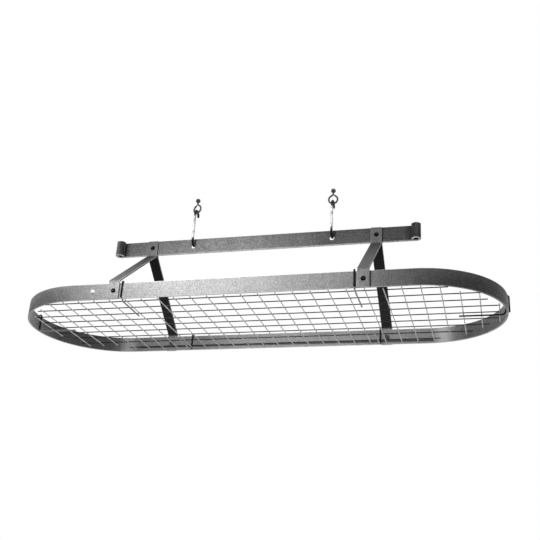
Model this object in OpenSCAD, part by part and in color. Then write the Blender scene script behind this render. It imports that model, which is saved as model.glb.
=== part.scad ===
// Hanging pot rack: an oval band of flat steel hangs on four bent legs from a flat top bar,
// the bar hangs on two bent links, and each link hangs on a ceiling hook. A loose oval sheet
// of welded wire mesh rests on six rod clips that straddle the band.
// The origin lies midway between the ceiling hooks, on the ceiling. X runs along the rack,
// -Y is its front, and all of it hangs below Z = 0.

/* [Oval band] */
// Length of the oval over its ends
band_length = 1524; // [1440:4:1800]
// Width of the oval over its long sides
band_width = 495; // [440:1:600]
// Height of the band's flat bar
band_height = 50.8; // [44:0.2:70]
// Thickness of the band's flat bar
band_t = 4.8; // [3:0.2:6.4]
// Height from the band's bottom edge to the top bar's bottom edge
bar_rise = 252.2; // [180:0.2:330]

/* [Top bar] */
// Length of the top bar over its rolled ends
bar_length = 1020; // [900:1:1200]
// Sideways place of the bar's middle
bar_x = 5; // [-10:0.5:10]
// Height of the top bar
bar_height = 50.8; // [44:0.2:64]
// Thickness of the top bar
bar_t = 6.4; // [4.8:0.2:8]
// Centre-line radius of the rolled ends
scroll_r = 11.6; // [10:0.2:16]
// How far each end is rolled round, in degrees
scroll_turn = 284; // [200:1:290]
// Diameter of the two link holes
link_hole_d = 16; // [13:0.2:20]

/* [Legs] */
// Distance of the legs from the middle of the rack
leg_x = 376; // [300:1:420]
// Width of a leg's strap
leg_w = 35; // [28:0.5:50]
// Thickness of a leg's strap
leg_t = 4.8; // [3:0.2:6]
// Centre-line radius of a leg's bends
leg_bend_r = 8.4; // [6:0.2:10]
// Height of the lower bend above the band's top edge
low_bend_lift = 6.6; // [6.2:0.2:16]
// Drop of the upper bend below the bar's bottom edge
high_bend_drop = 5.2; // [5.2:0.2:16]

/* [Fasteners] */
// Diameter of the black bolts
bolt_d = 8; // [6:0.5:10]
// Clearance of a bolt in its hole, across the diameter
bolt_fit = 0.4; // [0.2:0.1:1]
// Diameter of a bolt's button head
head_d = 15; // [13:0.5:20]
// Height of a bolt's button head
head_h = 4.4; // [3:0.2:6]
// Width across flats of the socket in a head
socket_af = 5; // [3:0.5:6]
// Depth of the socket in a head
socket_depth = 2.6; // [1:0.2:2.8]
// Width across flats of a nut
nut_af = 13; // [13:0.5:18]
// Thickness of a nut
nut_h = 5.4; // [3:0.2:5.8]
// Length of thread that stands out of a nut
thread_past = 0.8; // [0:0.2:1.2]
// Distance of the bright screw from the outer edge of the front left leg
bright_screw_gap = 52.5; // [15:0.5:60]
// Diameter of the bright screw
bright_screw_d = 6; // [4:0.5:8]
// Diameter of the bright screw's head
bright_head_d = 16; // [12:0.5:18]
// Width of the cross recess in the bright screw's head
recess_w = 1.6; // [1:0.1:2.4]

/* [Ceiling hooks and links] */
// Distance between the two ceiling hooks
hook_spacing = 467; // [400:1:560]
// Diameter of the ball at the top of a ceiling hook
ball_d = 16; // [14:0.5:22]
// Depth of the ball's centre below the ceiling
ball_drop = 7; // [6:0.1:7.2]
// Diameter of the threaded hole in the ball
fixing_hole_d = 5.1; // [4:0.1:6]
// Depth of the threaded hole in the ball
fixing_hole_depth = 9; // [6:0.5:10]
// Diameter of a ceiling hook's wire
hook_wire_d = 6; // [5.9:0.1:7]
// Centre-line radius of a ceiling hook's loop
loop_r = 14.5; // [13:0.1:18]
// Depth of the loop's centre below the ball's centre
loop_drop = 32; // [30:0.5:40]
// Depth of the neck's lower end below the ball's centre
neck_drop = 14; // [12:0.5:14]
// Opening between a loop's free tip and its neck
loop_gap = 1.5; // [0.5:0.1:4]
// Diameter of the two straight strands that run up to the neck
strand_d = 5.8; // [4.2:0.1:5.8]
// Turn of the left ceiling hook about the vertical, in degrees
left_hook_turn = 160; // [140:1:200]
// Diameter of a link's rod
link_d = 8; // [6:0.2:8.4]
// Centre-line radius of a link's bends
link_bend_r = 15; // [13:0.5:18]
// Height between the centre lines of a link's upper and lower bends
link_drop = 129; // [100:1:200]
// Straight length at each end of a link's rod
link_tip = 2; // [1.5:0.5:12]

/* [Mesh] */
// Diameter of the mesh wires
wire_d = 3.2; // [2:0.1:4]
// Distance between neighbouring mesh wires
mesh_pitch = 51.4; // [40:0.1:60]
// Distance between the last three long wires at the back
back_pitch = 58; // [50:0.5:60]
// Sideways place of the middle cross wire
mesh_x = 17; // [10:0.5:20]
// Front to back place of the middle long wire
mesh_y = -6.4; // [-10:0.1:0]
// Sideways place of the middle of the oval that the mesh is cut to
trim_x = 10.5; // [4:0.5:12]
// Front to back place of the middle of the oval that the mesh is cut to
trim_y = -9.5; // [-14:0.5:0]
// Gap from the band's inner face to the oval that the mesh is cut to
trim_gap = 18.6; // [18:0.2:26]
// Length of wire past the last crossing
wire_stub = 21; // [5:0.5:22]
// Length of the long wires past the outermost cross wires
edge_stub = 3; // [1:0.5:6]
// Least gap from a wire's end to the band
wire_gap = 3; // [2:0.5:8]

/* [Clips] */
// Diameter of a clip's rod
clip_d = 4.8; // [4:0.1:5.6]
// Length of a clip's tail, measured from the middle of the band
clip_reach = 139; // [100:1:160]
// Centre-line radius of a clip's lower bend
clip_bend_r = 14; // [8:0.5:16]
// Height of the end of a clip's outer leg above the band's bottom edge
clip_leg_end = 4; // [0:0.5:12]
// Distance of the front clips from the inner edges of the front legs
front_clip_gap = 8.5; // [4:0.5:60]
// Distance of the back left clip from the inner edge of its leg
back_left_clip_gap = 58.5; // [4:0.5:90]
// Distance of the back right clip from the inner edge of its leg
back_right_clip_gap = 3.5; // [3.2:0.1:60]

/* [Fits] */
// Gap between two pieces that move on each other
seat_gap = 0.3; // [0.2:0.05:0.5]
// How far a cut runs past the face that it opens
cut_past = 1; // [0.5:0.5:2]

/* [Hidden] */

steel_colour = [0.42, 0.42, 0.43];
black_colour = [0.08, 0.08, 0.08];
bright_colour = [0.80, 0.80, 0.80];
wire_colour = [0.55, 0.55, 0.56];
clip_colour = [0.16, 0.16, 0.17];

arc_steps = 16;

// Hanging chain, from the ceiling down
ball_z = -ball_drop;
neck_z = ball_z - neck_drop;
loop_z = ball_z - loop_drop;
top_pivot_z = loop_z - loop_r + hook_wire_d / 2 + seat_gap + link_d / 2;
low_pivot_z = top_pivot_z - link_drop;
link_in_r = link_bend_r - link_d / 2;
// Height of the link's inner curve at the bar's faces, above the lower pivot
link_rise_at_bar = link_bend_r - sqrt(pow(link_in_r, 2) - pow(bar_t / 2, 2));
link_hole_z = low_pivot_z + link_rise_at_bar + seat_gap - link_hole_d / 2;

// Rack
bar_z = link_hole_z - bar_height / 2;
band_z = bar_z - bar_rise;
band_mid_z = band_z + band_height / 2;
band_end_r = band_width / 2;
inner_r = band_end_r - band_t;

bright_screw_x = -(leg_x + leg_w / 2 + bright_screw_gap);

// Legs, as seen from the left
leg_low_y = -(band_end_r + leg_t / 2);
leg_high_y = -(bar_t + leg_t) / 2;
leg_low_z = band_z + band_height + low_bend_lift;
leg_high_z = bar_z - high_bend_drop;
leg_slope = atan2(leg_high_y - leg_low_y, leg_high_z - leg_low_z);
leg_setback = leg_bend_r * tan(leg_slope / 2);
leg_low_bend = [leg_low_y + leg_bend_r, leg_low_z - leg_setback];
leg_high_bend = [leg_high_y - leg_bend_r, leg_high_z + leg_setback];

// Mesh
cross_z = band_z + seat_gap + wire_d / 2;
long_z = cross_z + wire_d;
trim_r = inner_r - trim_gap;
trim_half = band_length / 2 - band_t - trim_gap;
max_columns = floor(band_length / 2 / mesh_pitch);
max_rows = floor(band_end_r / mesh_pitch);
wide_rows = 2;

// Clips
clip_half = (band_t + clip_d) / 2 + seat_gap;
clip_top_z = band_z + band_height;
clip_tail_z = band_z - clip_d / 2;
leg_inner_x = leg_x - leg_w / 2;
front_clips_x = [-(leg_inner_x - front_clip_gap), leg_inner_x - front_clip_gap];
back_clips_x = [-(leg_inner_x - back_left_clip_gap), leg_inner_x - back_right_clip_gap];
// Where a clip's lower bend meets its tail, inward from the band's outer face
clip_bend_in = band_t / 2 + clip_half + clip_bend_r;
back_reach = band_end_r - clip_bend_in;

function last(list) = list[len(list) - 1];
function arc(centre, r, from, to) =
    [for (k = [0 : arc_steps]) let (a = from + (to - from) * k / arc_steps)
        [centre[0] + r * cos(a), centre[1] + r * sin(a)]];
function mesh_row_y(j) =
    mesh_y + j * mesh_pitch + max(0, j - max_rows + wide_rows) * (back_pitch - mesh_pitch);
function mesh_column_x(i) = mesh_x + i * mesh_pitch;
// Half length of a stadium at a distance from its long axis
function stadium_half(half, r, y) = abs(y) < r ? half - r + sqrt(r * r - y * y) : 0;
// Half width of a stadium at a distance from its middle
function stadium_side(half, r, x) =
    abs(x) <= half - r ? r : abs(x) < half ? sqrt(r * r - pow(abs(x) - half + r, 2)) : 0;
function crossing_kept(i, j) =
    abs(mesh_column_x(i) - trim_x) <= stadium_half(trim_half, trim_r, mesh_row_y(j) - trim_y);
function kept_columns(j) = [for (i = [-max_columns : max_columns]) if (crossing_kept(i, j)) i];
function kept_rows(i) = [for (j = [-max_rows : max_rows]) if (crossing_kept(i, j)) j];
// A wire beside a clip stops where the clip's lower bend begins. The back clips may stand anywhere
// along the back, so all the wires stop there.
function by_clip(place, clips) =
    len([for (c = clips) if (abs(place - c) < (wire_d + clip_d) / 2 + wire_gap) c]) > 0;
// Farthest that a wire may reach inside the band
function reach_x(y) = min(
    stadium_half(band_length / 2 - band_t - wire_gap, inner_r - wire_gap, abs(y) + wire_d / 2),
    band_length / 2 - (by_clip(y, [0]) ? clip_bend_in : 0));
function reach_y(x, clips) = min(
    stadium_side(band_length / 2 - band_t - wire_gap, inner_r - wire_gap, abs(x) + wire_d / 2),
    band_end_r - (by_clip(x, clips) ? clip_bend_in : 0));

// Turns a shape drawn in XY so that it stands in the YZ plane, with its axis along X
module stand_in_yz() {
    rotate([90, 0, 90]) children();
}

// A round rod bent through an arc about the Z axis
module rod_arc(r, d, from, sweep) {
    rotate([0, 0, from]) rotate_extrude(angle = sweep, $fn = 96) translate([r, 0]) circle(d = d, $fn = 48);
}

// The end of a round rod, with its edge broken
module rod_end(d, length) {
    chamfer = d / 8;
    cylinder(h = length - chamfer, d = d, $fn = 48);
    translate([0, 0, length - chamfer])
        cylinder(h = chamfer, d1 = d, d2 = d - 2 * chamfer, $fn = 48);
}

module stadium(length, width) {
    square([length - width, width], center = true);
    for (side = [-1, 1]) translate([side * (length - width) / 2, 0]) circle(d = width, $fn = 180);
}

// A domed screw that points along +Z, with the underside of its head at Z = 0
module domed_screw(d, length, cap_d, cap_h) {
    cap_r = (pow(cap_d / 2, 2) + pow(cap_h, 2)) / (2 * cap_h);
    cylinder(h = length, d = d, $fn = 48);
    rotate_extrude($fn = 96) intersection() {
        translate([0, cap_r - cap_h]) circle(r = cap_r, $fn = 96);
        translate([0, -cap_h]) square([cap_d / 2, cap_h]);
    }
}

module socket_bolt(length) {
    difference() {
        domed_screw(bolt_d, length, head_d, head_h);
        translate([0, 0, -head_h - cut_past])
            cylinder(h = socket_depth + cut_past, d = socket_af / cos(30), $fn = 6);
    }
}

module hex_nut(d, across, h) {
    difference() {
        intersection() {
            cylinder(h = h, d = across / cos(30), $fn = 6);
            // A cone breaks the corners of the outer face
            translate([0, 0, -h])
                cylinder(h = 2 * h, d1 = across + 4 * h / tan(30), d2 = across, $fn = 64);
        }
        translate([0, 0, -cut_past]) cylinder(h = h + 2 * cut_past, d = d, $fn = 48);
    }
}

// Hardware on the band: side is -1 at the front and 1 at the back
module band_bolt(x, side) {
    translate([x, side * (band_end_r + leg_t), band_mid_z]) rotate([side * 90, 0, 0])
        socket_bolt(leg_t + band_t + nut_h + thread_past);
}

module band_bolt_nut(x, side) {
    translate([x, side * inner_r, band_mid_z]) rotate([side * 90, 0, 0]) hex_nut(bolt_d, nut_af, nut_h);
}

module bar_bolt(x) {
    translate([x, -(bar_t / 2 + leg_t), bar_z + bar_height / 2]) rotate([-90, 0, 0])
        socket_bolt(bar_t + 2 * leg_t + nut_h + thread_past);
}

module bar_bolt_nut(x) {
    translate([x, bar_t / 2 + leg_t, bar_z + bar_height / 2]) rotate([-90, 0, 0])
        hex_nut(bolt_d, nut_af, nut_h);
}

// The bright screw and its nut, in the front of the band
module bright_screw() {
    color(bright_colour) translate([bright_screw_x, -band_end_r, band_mid_z]) rotate([-90, 0, 0])
        difference() {
            domed_screw(bright_screw_d, band_t + nut_h + thread_past, bright_head_d, head_h);
            for (turn = [0, 90]) rotate([0, 0, turn]) translate([0, 0, -head_h])
                cube([bright_head_d / 2, recess_w, 2 * socket_depth], center = true);
        }
}

module bright_nut() {
    color(bright_colour) translate([bright_screw_x, -inner_r, band_mid_z]) rotate([-90, 0, 0])
        hex_nut(bright_screw_d, nut_af, nut_h);
}

// A hole along Y
module cross_hole(x, z, d) {
    translate([x, 0, z]) rotate([90, 0, 0]) cylinder(h = 2 * band_width, d = d, center = true, $fn = 48);
}

module oval_band() {
    color(steel_colour) difference() {
        translate([0, 0, band_z]) linear_extrude(band_height) difference() {
            stadium(band_length, band_width);
            stadium(band_length - 2 * band_t, band_width - 2 * band_t);
        }
        for (side = [-1, 1]) cross_hole(side * leg_x, band_mid_z, bolt_d + bolt_fit);
        translate([bright_screw_x, -band_end_r, band_mid_z]) rotate([90, 0, 0])
            cylinder(h = 4 * band_t, d = bright_screw_d + bolt_fit, center = true, $fn = 48);
    }
}

module top_bar() {
    straight = bar_length / 2 - scroll_r - bar_t / 2;
    color(steel_colour) difference() {
        union() {
            translate([bar_x - straight, -bar_t / 2, bar_z])
                cube([2 * straight, bar_t, bar_height]);
            for (side = [0, 1]) translate([bar_x, 0, 0]) mirror([side, 0, 0])
                translate([straight, -scroll_r, bar_z + bar_height]) rotate([180, 0, 90])
                    rotate_extrude(angle = scroll_turn, $fn = 96)
                        translate([scroll_r - bar_t / 2, 0]) square([bar_t, bar_height]);
        }
        for (side = [-1, 1]) {
            cross_hole(side * hook_spacing / 2, link_hole_z, link_hole_d);
            cross_hole(side * leg_x, bar_z + bar_height / 2, bolt_d + bolt_fit);
        }
    }
}

// A leg at the front: it lies flat on the band, leans in to the bar and lies flat on it
module leg(x) {
    wide_r = leg_bend_r + leg_t / 2;
    tight_r = leg_bend_r - leg_t / 2;
    top_z = bar_z + bar_height;
    color(steel_colour) difference() {
        translate([x - leg_w / 2, 0, 0]) stand_in_yz() linear_extrude(leg_w) polygon(concat(
            [[leg_low_y - leg_t / 2, band_z]],
            arc(leg_low_bend, wide_r, 180, 180 - leg_slope),
            arc(leg_high_bend, tight_r, -leg_slope, 0),
            [[leg_high_y - leg_t / 2, top_z], [leg_high_y + leg_t / 2, top_z]],
            arc(leg_high_bend, wide_r, 0, -leg_slope),
            arc(leg_low_bend, tight_r, 180 - leg_slope, 180),
            [[leg_low_y + leg_t / 2, band_z]]));
        cross_hole(x, band_mid_z, bolt_d + bolt_fit);
        cross_hole(x, bar_z + bar_height / 2, bolt_d + bolt_fit);
    }
}

// A ceiling hook: a ball with a threaded hole, a neck, and an onion-shaped loop whose
// free tip stops short of the neck on the +X side
module ceiling_hook(x, turn) {
    lean = acos(loop_r / (loop_drop - neck_drop));
    strand = sqrt(pow(loop_drop - neck_drop, 2) - pow(loop_r, 2));
    strand_lap = strand_d / 8;
    color(clip_colour) translate([x, 0, 0]) rotate([0, 0, turn]) {
        difference() {
            union() {
                translate([0, 0, ball_z]) intersection() {
                    sphere(d = ball_d, $fn = 96);
                    translate([0, 0, ball_drop - ball_d]) cube(2 * ball_d, center = true);
                }
                translate([0, 0, neck_z]) cylinder(h = neck_drop, d = hook_wire_d, $fn = 48);
            }
            translate([0, 0, -fixing_hole_depth])
                cylinder(h = fixing_hole_depth + cut_past, d = fixing_hole_d, $fn = 48);
        }
        translate([0, 0, neck_z]) {
            sphere(d = hook_wire_d, $fn = 48);
            rotate([0, -90 - lean, 0]) cylinder(h = strand + strand_lap, d = strand_d, $fn = 48);
        }
        translate([0, 0, loop_z]) rotate([90, 0, 0])
            rod_arc(loop_r, hook_wire_d, 90 + lean, 360 - 2 * lean);
        translate([loop_r * sin(lean), 0, loop_z + loop_r * cos(lean)]) rotate([0, lean - 90, 0])
            translate([0, 0, -strand_lap])
                rod_end(strand_d, strand + strand_lap - loop_gap - hook_wire_d / 2);
    }
}

// A link: a straight rod in front, hooked over to the back at both ends
module link(x) {
    color(bright_colour) translate([x, 0, 0]) {
        translate([0, -link_bend_r, low_pivot_z + link_bend_r])
            cylinder(h = link_drop - 2 * link_bend_r, d = link_d, $fn = 48);
        translate([0, 0, top_pivot_z - link_bend_r]) {
            stand_in_yz() rod_arc(link_bend_r, link_d, 0, 180);
            translate([0, link_bend_r, 0]) rotate([180, 0, 0]) rod_end(link_d, link_tip);
        }
        translate([0, 0, low_pivot_z + link_bend_r]) {
            stand_in_yz() rod_arc(link_bend_r, link_d, 180, 180);
            translate([0, link_bend_r, 0]) rod_end(link_d, link_tip);
        }
    }
}

// Wires along the rack, on top of the cross wires
module long_wires() {
    longest = kept_columns(0);
    left_edge = mesh_column_x(longest[0]) - edge_stub;
    right_edge = mesh_column_x(last(longest)) + edge_stub;
    color(wire_colour) for (j = [-max_rows : max_rows]) {
        columns = kept_columns(j);
        y = mesh_row_y(j);
        if (len(columns) > 1) {
            left = max(mesh_column_x(columns[0]) - wire_stub, left_edge, -reach_x(y));
            right = min(mesh_column_x(last(columns)) + wire_stub, right_edge, reach_x(y));
            translate([left, y, long_z]) rotate([0, 90, 0])
                cylinder(h = right - left, d = wire_d, $fn = 24);
        }
    }
}

// Wires across the rack
module cross_wires() {
    color(wire_colour) for (i = [-max_columns : max_columns]) {
        rows = kept_rows(i);
        x = mesh_column_x(i);
        if (len(rows) > 1) {
            front = max(mesh_row_y(rows[0]) - wire_stub, -reach_y(x, front_clips_x));
            back = min(mesh_row_y(last(rows)) + wire_stub, reach_y(x, []), back_reach);
            translate([x, front, cross_z]) rotate([-90, 0, 0])
                cylinder(h = back - front, d = wire_d, $fn = 24);
        }
    }
}

// A clip over a band whose middle lies at Y = 0, with the inside of the rack at +Y
module clip() {
    color(clip_colour) {
        translate([0, 0, clip_top_z]) stand_in_yz() rod_arc(clip_half, clip_d, 0, 180);
        translate([0, -clip_half, clip_top_z]) rotate([180, 0, 0])
            rod_end(clip_d, clip_top_z - band_z - clip_leg_end);
        translate([0, clip_half, clip_tail_z + clip_bend_r])
            cylinder(h = clip_top_z - clip_tail_z - clip_bend_r, d = clip_d, $fn = 48);
        translate([0, clip_half + clip_bend_r, clip_tail_z + clip_bend_r])
            stand_in_yz() rod_arc(clip_bend_r, clip_d, 180, 90);
        translate([0, clip_half + clip_bend_r, clip_tail_z]) rotate([-90, 0, 0])
            rod_end(clip_d, clip_reach - clip_half - clip_bend_r);
    }
}

module side_clip(x, side) {
    translate([x, side * (band_end_r - band_t / 2), 0]) rotate([0, 0, side > 0 ? 180 : 0]) clip();
}

module end_clip(side) {
    translate([side * (band_length - band_t) / 2, 0, 0]) rotate([0, 0, side * 90]) clip();
}

ceiling_hook(-hook_spacing / 2, left_hook_turn);  // left_ceiling_hook
ceiling_hook(hook_spacing / 2, 0);  // right_ceiling_hook
link(-hook_spacing / 2);  // left_link
link(hook_spacing / 2);  // right_link
top_bar();
oval_band();
leg(-leg_x);  // front_left_leg
leg(leg_x);  // front_right_leg
mirror([0, 1, 0]) leg(-leg_x);  // back_left_leg
mirror([0, 1, 0]) leg(leg_x);  // back_right_leg
color(black_colour) band_bolt(-leg_x, -1);  // front_left_bolt
color(black_colour) band_bolt(leg_x, -1);  // front_right_bolt
color(black_colour) band_bolt(-leg_x, 1);  // back_left_bolt
color(black_colour) band_bolt(leg_x, 1);  // back_right_bolt
color(black_colour) band_bolt_nut(-leg_x, -1);  // front_left_nut
color(black_colour) band_bolt_nut(leg_x, -1);  // front_right_nut
color(black_colour) band_bolt_nut(-leg_x, 1);  // back_left_nut
color(black_colour) band_bolt_nut(leg_x, 1);  // back_right_nut
color(black_colour) bar_bolt(-leg_x);  // top_left_bolt
color(black_colour) bar_bolt(leg_x);  // top_right_bolt
color(black_colour) bar_bolt_nut(-leg_x);  // top_left_nut
color(black_colour) bar_bolt_nut(leg_x);  // top_right_nut
bright_screw();
bright_nut();
long_wires();
cross_wires();
side_clip(front_clips_x[0], -1);  // front_left_clip
side_clip(front_clips_x[1], -1);  // front_right_clip
side_clip(back_clips_x[0], 1);  // back_left_clip
side_clip(back_clips_x[1], 1);  // back_right_clip
end_clip(-1);  // left_end_clip
end_clip(1);  // right_end_clip
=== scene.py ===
import math

import bpy
from mathutils import Matrix, Vector


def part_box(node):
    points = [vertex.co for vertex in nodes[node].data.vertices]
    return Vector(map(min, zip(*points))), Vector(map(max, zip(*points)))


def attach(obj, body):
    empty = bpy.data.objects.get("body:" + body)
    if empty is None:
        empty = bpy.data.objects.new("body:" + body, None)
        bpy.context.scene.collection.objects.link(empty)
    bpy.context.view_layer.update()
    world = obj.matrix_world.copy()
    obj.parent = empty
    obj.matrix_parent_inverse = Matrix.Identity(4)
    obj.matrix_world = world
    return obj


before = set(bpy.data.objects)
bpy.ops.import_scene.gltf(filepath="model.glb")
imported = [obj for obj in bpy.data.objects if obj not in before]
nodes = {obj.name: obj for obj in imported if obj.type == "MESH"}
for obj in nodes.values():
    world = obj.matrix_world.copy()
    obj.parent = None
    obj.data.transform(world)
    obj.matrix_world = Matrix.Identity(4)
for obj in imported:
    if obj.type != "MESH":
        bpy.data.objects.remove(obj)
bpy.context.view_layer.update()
scene = bpy.context.scene
print("frame loaded:", len(nodes), "nodes")


# small helpers for node trees

def newMaterial(name):
    material = bpy.data.materials.new(name)
    material.use_nodes = True
    tree = material.node_tree
    return material, tree, tree.nodes["Principled BSDF"]


def setInput(tree, socket, value):
    # a value is another node's output, or a fixed number or colour
    if isinstance(value, bpy.types.NodeSocket):
        tree.links.new(value, socket)
    else:
        socket.default_value = value


def addNode(tree, kind, settings=None, **inputs):
    node = tree.nodes.new(kind)
    for key, value in (settings or {}).items():
        setattr(node, key, value)
    for key, value in inputs.items():
        setInput(tree, node.inputs[key], value)
    return node


def placeOnPiece(tree):
    # object coordinates are the rack's own metres, so grain keeps its real size
    return addNode(tree, "ShaderNodeTexCoord").outputs["Object"]


def axesOf(tree, vector):
    return addNode(tree, "ShaderNodeSeparateXYZ", Vector=vector).outputs


def noise(tree, place, size, detail=2.0, rough=0.5, warp=0.0):
    node = addNode(tree, "ShaderNodeTexNoise", Vector=place, Scale=1.0 / size,
                   Detail=detail, Roughness=rough, Distortion=warp)
    return node.outputs["Fac"]


def spread(tree, value, low, high, outLow=0.0, outHigh=1.0):
    node = addNode(tree, "ShaderNodeMapRange", {"clamp": True}, Value=value)
    for socket, number in zip(node.inputs[1:5], (low, high, outLow, outHigh)):
        setInput(tree, socket, number)
    return node.outputs["Result"]


def combine(tree, operation, first, *others):
    # works through two or more numbers from left to right
    for other in others:
        node = addNode(tree, "ShaderNodeMath", {"operation": operation})
        setInput(tree, node.inputs[0], first)
        setInput(tree, node.inputs[1], other)
        first = node.outputs[0]
    return first


def awayFrom(tree, value, middle):
    return combine(tree, "ABSOLUTE", combine(tree, "SUBTRACT", value, middle), 0.0)


def blendNoise(tree, first, second, share):
    return combine(tree, "ADD", combine(tree, "MULTIPLY", first, share),
                   combine(tree, "MULTIPLY", second, 1.0 - share))


def mixNumbers(tree, share, first, second):
    node = addNode(tree, "ShaderNodeMix", {"data_type": "FLOAT"})
    for index, value in ((0, share), (2, first), (3, second)):
        setInput(tree, node.inputs[index], value)
    return node.outputs[0]


def mixColours(tree, share, first, second):
    node = addNode(tree, "ShaderNodeMix", {"data_type": "RGBA"})
    for index, value in ((0, share), (6, first), (7, second)):
        setInput(tree, node.inputs[index], value)
    return node.outputs[2]


def grey(level):
    return (level, level, level, 1.0)


def shade(tree, grain, look):
    # runs from a finish's dark grey to its light one as the grain rises
    return mixColours(tree, spread(tree, grain, *look["steps"]), grey(look["dark"]), grey(look["light"]))


noiseSpan = (0.3, 0.7)    # a noise texture keeps mostly between these values


def setRoughness(tree, shader, grain, look):
    atLow, atHigh = look["roughness"]
    tree.links.new(spread(tree, grain, *noiseSpan, atLow, atHigh), shader.inputs["Roughness"])


def setBump(tree, shader, height, strength, depth):
    node = addNode(tree, "ShaderNodeBump", Height=height, Strength=strength, Distance=depth)
    tree.links.new(node.outputs["Normal"], shader.inputs["Normal"])


# hammered grey coat of the flat steel

hammeredCoat = {
    "dark": 0.23,                    # hollows of the mottle
    "middle": 0.35,
    "light": 0.49,                   # tops of the mottle
    "steps": (0.38, 0.50, 0.62),     # mottle values that turn dark, middle and light
    "speckSize": 0.0038,
    "blotchSize": 0.010,
    "cloudSize": 0.090,
    "shares": (0.72, 0.16, 0.12),    # of speck, blotch and cloud in the mottle
    "dimpleSize": 0.0060,
    "dimpleSoftness": 0.8,
    "dimpleStrength": 0.6,
    "dimpleDepth": 0.0006,
    "speckHeight": 0.5,              # beside a dimple's height of 1
    "roughness": (0.58, 0.38),       # between the specks and on them
    "specular": 0.12,
    # also the grey of the painted highlight at the ends of the band's back
    "bareAndGlint": 0.80,                    # metal where the coat is rubbed off
}
barCoat = dict(hammeredCoat, dark=0.17, light=0.58)


def makeHammeredCoat(name, look, tone, darken, rub=None):
    material, tree, shader = newMaterial(name)
    place = placeOnPiece(tree)
    speck = noise(tree, place, look["speckSize"], detail=3.0, rough=0.65)
    blotch = noise(tree, place, look["blotchSize"], warp=0.4)
    cloud = noise(tree, place, look["cloudSize"])
    grains = zip((speck, blotch, cloud), look["shares"])
    mottle = combine(tree, "ADD", *[combine(tree, "MULTIPLY", grain, share) for grain, share in grains])
    atDark, atMiddle, atLight = look["steps"]
    low = mixColours(tree, spread(tree, mottle, atDark, atMiddle), grey(look["dark"]), grey(look["middle"]))
    colour = mixColours(tree, spread(tree, mottle, atMiddle, atLight), low, grey(look["light"]))
    # painted shade by place: the tone takes the coat towards black
    colour = mixColours(tree, darken(tree, place, tone), grey(0.0), colour)
    # rubbed bare metal along the bar's low edge, and a painted highlight at the ends of the band's back
    if rub:
        colour = mixColours(tree, rub(tree, place, tone), colour, grey(look["bareAndGlint"]))
    tree.links.new(colour, shader.inputs["Base Color"])
    setRoughness(tree, shader, speck, look)
    dimple = addNode(tree, "ShaderNodeTexVoronoi", {"feature": "SMOOTH_F1"},
                     Vector=place, Scale=1.0 / look["dimpleSize"], Smoothness=look["dimpleSoftness"])
    height = combine(tree, "ADD", dimple.outputs["Distance"],
                     combine(tree, "MULTIPLY", speck, look["speckHeight"]))
    setBump(tree, shader, height, look["dimpleStrength"], look["dimpleDepth"])
    shader.inputs["Specular IOR Level"].default_value = look["specular"]
    return material


# tones of the coat are painted shade and painted highlight, as shares of its grey, and a pair of places is
# where a change of tone begins and ends

# painted shade on a leg's slope and on its cut sides
legTone = {
    "slope": 0.19,                   # at the foot of a leg's slope
    "top": 0.40,                     # of that again at the slope's top
    "lowBend": (-0.404, -0.396),     # heights
    "highBend": (-0.212, -0.204),
    "climb": (-0.390, -0.215),
    "cutSide": 0.05,
    "cutFacing": (0.80, 0.95),       # how squarely a cut side looks left or right
}
# the back legs get deeper painted shade, as their slopes face down
backLegTone = dict(legTone, slope=0.07)


def shadeLegSlopes(tree, place, tone):
    # painted shade: a leg is darker between its two bends, and on its cut sides
    height = axesOf(tree, place)["Z"]
    above = spread(tree, height, *tone["lowBend"])
    below = spread(tree, height, *tone["highBend"], 1.0, 0.0)
    kept = spread(tree, height, *tone["climb"], tone["slope"], tone["slope"] * tone["top"])
    slope = mixNumbers(tree, combine(tree, "MULTIPLY", above, below), 1.0, kept)
    facing = addNode(tree, "ShaderNodeTexCoord").outputs["Normal"]
    sideways = awayFrom(tree, axesOf(tree, facing)["X"], 0.0)
    cut = spread(tree, sideways, *tone["cutFacing"], 1.0, tone["cutSide"])
    return combine(tree, "MULTIPLY", slope, cut)


# painted shade and painted highlight along the bar and on its scrolls
barTone = {
    "middle": 0.005,                 # X of the bar's middle
    "scrollShade": 0.06,                  # beside a scroll
    "scrollShadeFrom": (0.458, 0.486),    # away from the middle
    "rightHalf": 0.48,
    "rightFrom": (-0.05, 0.22),      # X
    "scrollSide": 0.30,
    "scrollFrom": (0.478, 0.482),    # away from the middle
    "scrollBack": (-0.010, -0.006),  # Y between a scroll and the flat bar behind it
    "line": 0.4995,                  # a scroll's bright line, away from the middle
    "lineWidth": (0.002, 0.009),     # away from the line
    "lowEdge": (-0.2024, -0.2008),   # heights
    "rubSize": 0.012,
    "rubSteps": (0.38, 0.56),
    "rubShares": (0.45, 1.0),
}


def shadeAndLightBarEnds(tree, place, tone):
    # painted shade: the bar is black just before both scrolls, where they shade it, and darker along its
    # right half
    axes = axesOf(tree, place)
    along = awayFrom(tree, axes["X"], tone["middle"])
    flat = spread(tree, axes["Y"], *tone["scrollBack"])
    beside = combine(tree, "MULTIPLY", spread(tree, along, *tone["scrollShadeFrom"]), flat)
    ends = mixNumbers(tree, beside, 1.0, tone["scrollShade"])
    half = spread(tree, axes["X"], *tone["rightFrom"], 1.0, tone["rightHalf"])
    # painted highlight and painted shade: each scroll is bright along one line, and dark to both sides of it
    lined = spread(tree, awayFrom(tree, along, tone["line"]), *tone["lineWidth"], 1.0, tone["scrollSide"])
    beyond = spread(tree, along, *tone["scrollFrom"])
    rolled = combine(tree, "MULTIPLY", beyond, combine(tree, "SUBTRACT", 1.0, flat))
    return combine(tree, "MULTIPLY", ends, half, mixNumbers(tree, rolled, 1.0, lined))


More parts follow.
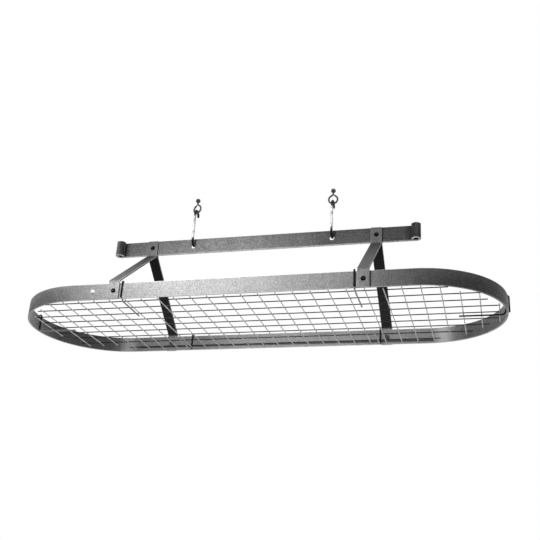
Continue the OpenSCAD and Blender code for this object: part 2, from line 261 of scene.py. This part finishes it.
def rubLowEdge(tree, place, tone):
    # the underside of the bar, and a narrow line above it, are rubbed bare
    height = axesOf(tree, place)["Z"]
    low = spread(tree, height, *tone["lowEdge"], 1.0, 0.0)
    patch = noise(tree, place, tone["rubSize"], detail=3.0, rough=0.6)
    return combine(tree, "MULTIPLY", low, spread(tree, patch, *tone["rubSteps"], *tone["rubShares"]))


# painted shade, a painted shadow line and painted highlights on the band's coat
bandTone = {
    "bend": 0.52,
    "frontRight": (0.36, 0.54),      # X
    "backLeft": (-0.55, -0.60),
    "backRight": (0.58, 0.64),
    "frontToBack": (0.0, 0.10),      # Y
    # the painted shadow line of the last long wire
    "line": 0.20,                    # the dark line inside the back
    "lineEnds": (-0.40, 0.45),       # X
    "lineHeights": (-0.4415, -0.4460),    # at those two places
    "lineWidth": (0.0025, 0.0045),   # away from that height
    "lineFace": (0.2400, 0.2415),    # Y of the inner face
    "linePast": (0.2440, 0.2450),    # Y inside the steel
    "straightMiddle": 0.0175,        # X
    "straightEnd": (0.520, 0.508),   # away from that middle
    "patch": 0.75,                   # how bare the patches at the ends of the back are
    "patchMiddle": 0.0125,           # X midway between them
    # painted highlight: how far the patches at the ends of the back are lightened
    "patchPlace": 0.5475,            # away from that middle
    "patchWidth": (0.036, 0.008),    # away from that place
    "patchBack": (0.10, 0.20),       # Y
}


def shadowLineOfLastWire(tree, axes, tone):
    # a painted shadow of the last long wire: runs along the lower inside of the band's back, behind that
    # wire
    height = spread(tree, axes["X"], *tone["lineEnds"], *tone["lineHeights"])
    line = spread(tree, awayFrom(tree, axes["Z"], height), *tone["lineWidth"], 1.0, 0.0)
    face = spread(tree, axes["Y"], *tone["lineFace"])
    short = spread(tree, axes["Y"], *tone["linePast"], 1.0, 0.0)
    straight = spread(tree, awayFrom(tree, axes["X"], tone["straightMiddle"]), *tone["straightEnd"])
    return combine(tree, "MULTIPLY", line, face, short, straight)


def shadeBandEnds(tree, place, tone):
    # painted shade: the band is darker at the right end of its front, and at both ends of its back
    axes = axesOf(tree, place)
    front = spread(tree, axes["X"], *tone["frontRight"], 1.0, tone["bend"])
    left = spread(tree, axes["X"], *tone["backLeft"], 1.0, tone["bend"])
    right = spread(tree, axes["X"], *tone["backRight"], 1.0, tone["bend"])
    back = combine(tree, "MULTIPLY", left, right)
    ends = mixNumbers(tree, spread(tree, axes["Y"], *tone["frontToBack"]), front, back)
    return combine(tree, "MULTIPLY", ends, mixNumbers(tree, shadowLineOfLastWire(tree, axes, tone), 1.0, tone["line"]))


def highlightBackEnds(tree, place, tone):
    # a painted highlight: a bright patch where each end of the back runs into its bend
    axes = axesOf(tree, place)
    beside = awayFrom(tree, axes["X"], tone["patchMiddle"])
    patch = spread(tree, awayFrom(tree, beside, tone["patchPlace"]), *tone["patchWidth"], 0.0, tone["patch"])
    return combine(tree, "MULTIPLY", patch, spread(tree, axes["Y"], *tone["patchBack"]))


# bare metal that shows along the edges of the flat steel

wornEdge = {
    "dark": 0.50,
    "light": 0.85,
    "steps": (0.38, 0.60),
    "rubSize": 0.010,
    "nickSize": 0.0020,
    "rubShare": 0.65,                # of the two, and nicks are the rest
    "strength": 0.3,
    "depth": 0.0002,
    "roughness": (0.30, 0.48),
    "specular": 0.40,
}


def makeWornEdge(name, look):
    material, tree, shader = newMaterial(name)
    place = placeOnPiece(tree)
    rub = noise(tree, place, look["rubSize"], detail=3.0, rough=0.6, warp=0.5)
    nick = noise(tree, place, look["nickSize"], rough=0.6)
    both = blendNoise(tree, rub, nick, look["rubShare"])
    tree.links.new(shade(tree, both, look), shader.inputs["Base Color"])
    setRoughness(tree, shader, nick, look)
    setBump(tree, shader, both, look["strength"], look["depth"])
    shader.inputs["Specular IOR Level"].default_value = look["specular"]
    return material


# rods, wires, nuts and the bright screw: a grey with fine grain and larger patches

rodGrain = {"steps": (0.35, 0.65), "grainShare": 0.5, "strength": 0.25}
hookRod = dict(rodGrain, dark=0.030, light=0.220, grainSize=0.0014, patchSize=0.006, depth=0.00008,
               roughness=(0.25, 0.38), metallic=0.3, specular=0.45)
nutSteel = dict(rodGrain, dark=0.06, light=0.20, grainSize=0.0010, patchSize=0.005, depth=0.00004,
                roughness=(0.40, 0.53), metallic=0.2, specular=0.20)
zincScrew = dict(rodGrain, dark=0.75, light=0.98, grainSize=0.0010, patchSize=0.004, depth=0.00003,
                 roughness=(0.15, 0.28), metallic=0.9, specular=0.50)
# lit and shaded copies of one wire: the cross wires carry a painted highlight, light and metallic, and the
# long wires painted shade, near black
crossWireLit = dict(rodGrain, dark=0.42, light=0.70, grainSize=0.0015, patchSize=0.030, depth=0.00006,
                 roughness=(0.33, 0.46), metallic=0.9, specular=0.30)
longWireShaded = dict(rodGrain, dark=0.015, light=0.050, grainSize=0.0015, patchSize=0.030, depth=0.00006,
                roughness=(0.45, 0.58), metallic=0.0, specular=0.04)
weldBead = dict(rodGrain, dark=0.05, light=0.20, grainSize=0.0010, patchSize=0.006, depth=0.00010,
                roughness=(0.45, 0.58), metallic=0.0, specular=0.15)
# painted shade: the clip at the right end is near black all over, its tail too
clipRodShaded = dict(rodGrain, dark=0.004, light=0.014, grainSize=0.0012, patchSize=0.010, depth=0.00005,
               roughness=(0.40, 0.53), metallic=0.0, specular=0.06)


def rodNoises(tree, place, look):
    grain = noise(tree, place, look["grainSize"], detail=3.0, rough=0.6)
    patch = noise(tree, place, look["patchSize"])
    return grain, patch


def makeRodFinish(name, look):
    material, tree, shader = newMaterial(name)
    grain, patch = rodNoises(tree, placeOnPiece(tree), look)
    both = blendNoise(tree, grain, patch, look["grainShare"])
    tree.links.new(shade(tree, both, look), shader.inputs["Base Color"])
    setRoughness(tree, shader, grain, look)
    setBump(tree, shader, grain, look["strength"], look["depth"])
    shader.inputs["Metallic"].default_value = look["metallic"]
    shader.inputs["Specular IOR Level"].default_value = look["specular"]
    return material


# a bolt is black, with a painted grey glint in the middle of its head, where the key sits

blackBolt = {
    "dark": 0.004, "light": 0.016, "grainSize": 0.0008, "strength": 0.25, "depth": 0.00003,
    "roughness": 0.50, "specular": 0.04,
    "spot": 0.26, "spotReach": 0.36, "spotFade": 0.12,    # a grey, and shares of the head's radius
    "spotSteps": (0.35, 0.55),
}


def makeBolt(name, look):
    material, tree, shader = newMaterial(name)
    place = placeOnPiece(tree)
    whole = axesOf(tree, addNode(tree, "ShaderNodeTexCoord").outputs["Generated"])
    sideways = combine(tree, "SUBTRACT", whole["X"], 0.5)
    upward = combine(tree, "SUBTRACT", whole["Z"], 0.5)
    square = combine(tree, "ADD", combine(tree, "MULTIPLY", sideways, sideways),
                     combine(tree, "MULTIPLY", upward, upward))
    # 0 in the middle of the head and 1 at its edge
    reach = combine(tree, "MULTIPLY", combine(tree, "SQRT", square, 0.0), 2.0)
    grain = noise(tree, place, look["grainSize"], detail=3.0, rough=0.6)
    black = mixColours(tree, grain, grey(look["dark"]), grey(look["light"]))
    # painted glint: grey in the middle of the head
    near = spread(tree, reach, look["spotReach"] - look["spotFade"], look["spotReach"], 1.0, 0.0)
    bareAndGlint = combine(tree, "MULTIPLY", near, spread(tree, grain, *look["spotSteps"]))
    tree.links.new(mixColours(tree, bareAndGlint, black, grey(look["spot"])), shader.inputs["Base Color"])
    setBump(tree, shader, grain, look["strength"], look["depth"])
    shader.inputs["Roughness"].default_value = look["roughness"]
    shader.inputs["Specular IOR Level"].default_value = look["specular"]
    return material


# most clips carry painted shade: black where they are bent round the band, and bare along the tail under the
# mesh

clipTail = {
    "dark": 0.22, "light": 0.42, "black": 0.008, "steps": (0.38, 0.60), "grainShare": 0.5,
    "top": (-0.4545, -0.4530),       # heights where the bare tail ends
    "grainSize": 0.0012, "patchSize": 0.014, "strength": 0.3, "depth": 0.00006,
    "roughness": (0.36, 0.50), "metallic": 0.6, "specular": 0.15,
}


def makeClipTail(name, look):
    material, tree, shader = newMaterial(name)
    place = placeOnPiece(tree)
    grain, patch = rodNoises(tree, place, look)
    bareAndGlint = shade(tree, blendNoise(tree, grain, patch, look["grainShare"]), look)
    # painted shade: black above the tail's top
    painted = spread(tree, axesOf(tree, place)["Z"], *look["top"])
    tree.links.new(mixColours(tree, painted, bareAndGlint, grey(look["black"])), shader.inputs["Base Color"])
    tree.links.new(mixNumbers(tree, painted, look["metallic"], 0.0), shader.inputs["Metallic"])
    setRoughness(tree, shader, grain, look)
    setBump(tree, shader, grain, look["strength"], look["depth"])
    shader.inputs["Specular IOR Level"].default_value = look["specular"]
    return material


# the links are bright in the middle, and black round both bends as painted shade

linkRod = {
    "dark": 0.40, "light": 0.95, "black": 0.006, "steps": (0.38, 0.58), "grainShare": 0.45,
    "upperBend": (-0.076, -0.066),   # heights where the black sets in
    "lowerBend": (-0.146, -0.156),
    "waver": 0.003,                  # how far its limit wanders
    "grainSize": 0.0018, "patchSize": 0.012, "strength": 0.3, "depth": 0.00012,
    "roughness": (0.28, 0.44), "metallic": 0.55, "specular": 0.18,
}


def makeLinkRod(name, look):
    material, tree, shader = newMaterial(name)
    place = placeOnPiece(tree)
    grain, patch = rodNoises(tree, place, look)
    both = blendNoise(tree, grain, patch, look["grainShare"])
    bright = shade(tree, both, look)
    waver = spread(tree, patch, *noiseSpan, -look["waver"], look["waver"])
    height = combine(tree, "ADD", axesOf(tree, place)["Z"], waver)
    # painted shade round both bends
    linkBendShade = combine(tree, "MAXIMUM", spread(tree, height, *look["upperBend"]),
                    spread(tree, height, *look["lowerBend"]))
    tree.links.new(mixColours(tree, linkBendShade, bright, grey(look["black"])), shader.inputs["Base Color"])
    tree.links.new(mixNumbers(tree, linkBendShade, look["metallic"], 0.0), shader.inputs["Metallic"])
    setRoughness(tree, shader, grain, look)
    setBump(tree, shader, both, look["strength"], look["depth"])
    shader.inputs["Specular IOR Level"].default_value = look["specular"]
    return material


finishes = {
    "bandCoat": makeHammeredCoat("bandCoat", hammeredCoat, bandTone, shadeBandEnds, highlightBackEnds),
    "barCoat": makeHammeredCoat("barCoat", barCoat, barTone, shadeAndLightBarEnds, rubLowEdge),
    "frontLegCoat": makeHammeredCoat("frontLegCoat", hammeredCoat, legTone, shadeLegSlopes),
    "backLegCoat": makeHammeredCoat("backLegCoat", hammeredCoat, backLegTone, shadeLegSlopes),
    "wornEdge": makeWornEdge("wornEdge", wornEdge),
    "hookRod": makeRodFinish("hookRod", hookRod),
    "linkRod": makeLinkRod("linkRod", linkRod),
    "blackBolt": makeBolt("blackBolt", blackBolt),
    "nutSteel": makeRodFinish("nutSteel", nutSteel),
    "zincScrew": makeRodFinish("zincScrew", zincScrew),
    "crossWireLit": makeRodFinish("crossWireLit", crossWireLit),
    "longWireShaded": makeRodFinish("longWireShaded", longWireShaded),
    "weldBead": makeRodFinish("weldBead", weldBead),
    "clipRodShaded": makeRodFinish("clipRodShaded", clipRodShaded),
    "clipTail": makeClipTail("clipTail", clipTail),
}
print("finishes made:", len(finishes))


# each frame node gets its finish

def finishOf(name):
    if name.endswith("_leg"):
        return "frontLegCoat" if name.startswith("front") else "backLegCoat"
    if name == "top_bar":
        return "barCoat"
    if name == "oval_band":
        return "bandCoat"
    if name.endswith("ceiling_hook"):
        return "hookRod"
    if name.endswith("_link"):
        return "linkRod"
    if name.startswith("bright_"):
        return "zincScrew"
    if name == "long_wires":
        return "longWireShaded"
    if name == "cross_wires":
        return "crossWireLit"
    if name == "right_end_clip":
        return "clipRodShaded"
    if name.endswith("_clip"):
        return "clipTail"
    if name.endswith("_nut"):
        return "nutSteel"
    return "blackBolt"


rims = {
    "width": 0.0012,                 # how far the hammering has rounded an edge
    "legWidth": 0.0008,
    "segments": 2,
    "sharp": 40,                     # degrees, from which a bend counts as an edge
    "flat": 0.4,                     # degrees, up to which two faces are one
    "join": 0.00002,                 # points closer than this are one
}


def roundEdges(piece, width, settings):
    # the flat steel keeps its size, and its hard edges get a narrow rounded rim of bare metal
    piece.data.materials.append(finishes["wornEdge"])
    join = piece.modifiers.new("join", "WELD")
    join.merge_threshold = settings["join"]
    plain = piece.modifiers.new("plain", "DECIMATE")
    plain.decimate_type = "DISSOLVE"
    plain.angle_limit = math.radians(settings["flat"])
    rim = piece.modifiers.new("rim", "BEVEL")
    rim.width = width
    rim.segments = settings["segments"]
    # the bar's large link holes would throw long slivers without the clamp
    rim.use_clamp_overlap = piece is nodes["top_bar"]
    rim.limit_method = "ANGLE"
    rim.angle_limit = math.radians(settings["sharp"])
    rim.material = len(piece.data.materials) - 1
    rim.harden_normals = True


for name, piece in nodes.items():
    finish = finishOf(name)
    for slotEntry in piece.material_slots:
        slotEntry.material = finishes[finish]
    if finish.endswith("Coat"):
        roundEdges(piece, rims["legWidth" if name.endswith("_leg") else "width"], rims)
print("frame nodes dressed")


# weld beads, one where each long wire lies on a cross wire

beads = {
    "across": 0.0052,
    "high": 0.0022,
    "sides": 8,
    "rings": 5,
    "wiresApart": 0.01,              # two points further apart than this are on two wires
}


def wireRuns(piece, along, apart):
    # splits a node of parallel wires into (place across, start, end) for each wire
    across = 1 - along
    points = sorted((tuple(v.co) for v in piece.data.vertices), key=lambda point: point[across])
    runs = []
    for point in points:
        if not runs or point[across] - runs[-1][-1][across] > apart:
            runs.append([])
        runs[-1].append(point)
    return [(sum(p[across] for p in run) / len(run), min(p[along] for p in run), max(p[along] for p in run))
            for run in runs]


def addBead(points, faces, centre, settings):
    # a flattened ball: a top point, rings of points, and a bottom point
    sides, rings = settings["sides"], settings["rings"]
    halfAcross, halfHigh = settings["across"] / 2, settings["high"] / 2
    first = len(points)
    last = first + 1 + (rings - 1) * sides
    points.append(centre + Vector((0.0, 0.0, halfHigh)))
    for ring in range(1, rings):
        tilt = math.pi * ring / rings
        out, up = halfAcross * math.sin(tilt), halfHigh * math.cos(tilt)
        for side in range(sides):
            turn = 2 * math.pi * side / sides
            points.append(centre + Vector((out * math.cos(turn), out * math.sin(turn), up)))
    points.append(centre - Vector((0.0, 0.0, halfHigh)))
    for side in range(sides):
        a, b = first + 1 + side, first + 1 + (side + 1) % sides
        faces.append((first, a, b))
        for ring in range(rings - 2):
            faces.append((a, a + sides, b + sides, b))
            a, b = a + sides, b + sides
        faces.append((last, b, a))


def makeBeads(settings):
    rows = wireRuns(nodes["long_wires"], 0, settings["wiresApart"])
    columns = wireRuns(nodes["cross_wires"], 1, settings["wiresApart"])
    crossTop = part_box("cross_wires")[1][2]
    points, faces, count = [], [], 0
    for y, left, right in rows:
        for x, front, back in columns:
            if left <= x <= right and front <= y <= back:
                addBead(points, faces, Vector((x, y, crossTop)), settings)
                count += 1
    mesh = bpy.data.meshes.new("mesh_weld_beads")
    mesh.from_pydata(points, [], faces)
    mesh.materials.append(finishes["weldBead"])
    mesh.shade_smooth()
    piece = bpy.data.objects.new("mesh_weld_beads", mesh)
    scene.collection.objects.link(piece)
    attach(piece, "wire_mesh")
    return count


print("weld beads:", makeBeads(beads))


# camera, fitted to the straight edges and the mesh in the photograph

view = {
    "place": (0.72758, -2.41592, -1.35968),
    "right": (0.96608121, 0.25220613, 0.05549026),
    "up": (0.05072314, -0.39601888, 0.91684034),
    "lens": 57.04,
    "sensor": 36.0,
    "near": 0.05,
    "far": 60.0,
}


def makeCamera(settings):
    data = bpy.data.cameras.new("camera")
    data.sensor_width = settings["sensor"]
    data.lens = settings["lens"]
    data.clip_start = settings["near"]
    data.clip_end = settings["far"]
    camera = bpy.data.objects.new("camera", data)
    scene.collection.objects.link(camera)
    right, up = Vector(settings["right"]).normalized(), Vector(settings["up"]).normalized()
    turn = Matrix((right, up, right.cross(up))).transposed().to_4x4()
    camera.matrix_world = Matrix.Translation(Vector(settings["place"])) @ turn
    scene.camera = camera


makeCamera(view)
print("camera set")


# studio: soft lamps, a pale floor far below and a white surround

lamps = {
    "gridLeft": {"place": (-0.90, -1.30, 0.45), "aim": (-0.25, -0.25, -0.43), "size": (0.4, 0.3),
                 "power": 0.60, "spread": 45},
    "gridMiddle": {"place": (-0.70, -1.40, 0.45), "aim": (0.10, -0.25, -0.43), "size": (0.4, 0.3),
                   "power": 1.20, "spread": 45},
    "nearStrip": {"place": (-0.28, -0.62, -0.12), "aim": (-0.10, -0.25, -0.45), "size": (0.6, 0.15),
                  "power": 1.00, "spread": 80},
    "behind": {"place": (0.0, 2.0, -0.20), "aim": (0.0, 0.2, -0.35), "size": (1.8, 0.8), "power": 10.0},
    "sky": {"place": (0.0, -0.1, 3.0), "aim": (0.0, 0.0, -0.40), "sun": 6, "power": 0.95},
    "below": {"place": (-0.2, 0.25, -2.0), "aim": (-0.1, 0.1, -0.45), "size": (1.2, 1.0), "power": 8.0},
}
surround = {"fill": 0.02, "shown": 1.0}
floorLook = {"height": -2.4, "half": 8.0, "light": 0.92, "dark": 0.88, "steps": (0.35, 0.65),
             "cloudSize": 0.6, "roughness": 0.8}


def makeLamp(name, settings):
    # a sun has an angle in degrees for a size, and watts on a square metre for its power
    data = bpy.data.lights.new(name, "SUN" if "sun" in settings else "AREA")
    if "sun" in settings:
        data.angle = math.radians(settings["sun"])
    else:
        data.shape = "RECTANGLE"
        data.size, data.size_y = settings["size"]
        data.spread = math.radians(settings.get("spread", 180))
    data.energy = settings["power"]
    lamp = bpy.data.objects.new(name, data)
    scene.collection.objects.link(lamp)
    place = Vector(settings["place"])
    lamp.location = place
    lamp.rotation_mode = "QUATERNION"
    lamp.rotation_quaternion = (Vector(settings["aim"]) - place).to_track_quat("-Z", "Y")
    lamp.visible_camera = False


def makeSurround(settings):
    world = bpy.data.worlds.new("surround")
    scene.world = world
    world.use_nodes = True
    tree = world.node_tree
    tree.nodes.clear()
    path = addNode(tree, "ShaderNodeLightPath").outputs
    seen = combine(tree, "ADD", path["Is Camera Ray"], path["Is Glossy Ray"], path["Is Transmission Ray"])
    fill = addNode(tree, "ShaderNodeBackground", Color=grey(1.0), Strength=settings["fill"])
    shown = addNode(tree, "ShaderNodeBackground", Color=grey(1.0), Strength=settings["shown"])
    mix = addNode(tree, "ShaderNodeMixShader")
    tree.links.new(combine(tree, "MINIMUM", seen, 1.0), mix.inputs[0])
    tree.links.new(fill.outputs[0], mix.inputs[1])
    tree.links.new(shown.outputs[0], mix.inputs[2])
    output = addNode(tree, "ShaderNodeOutputWorld")
    tree.links.new(mix.outputs[0], output.inputs[0])


def makeFloor(settings):
    material, tree, shader = newMaterial("paleFloor")
    cloud = noise(tree, placeOnPiece(tree), settings["cloudSize"], detail=3.0)
    tree.links.new(shade(tree, cloud, settings), shader.inputs["Base Color"])
    shader.inputs["Roughness"].default_value = settings["roughness"]
    h, z = settings["half"], settings["height"]
    mesh = bpy.data.meshes.new("floor")
    mesh.from_pydata([(-h, -h, z), (h, -h, z), (h, h, z), (-h, h, z)], [], [(0, 1, 2, 3)])
    mesh.materials.append(material)
    floor = bpy.data.objects.new("floor", mesh)
    scene.collection.objects.link(floor)


for name, settings in lamps.items():
    makeLamp(name, settings)
makeSurround(surround)
makeFloor(floorLook)
scene.view_settings.view_transform = "Standard"
print("studio set:", len(lamps), "lamps")
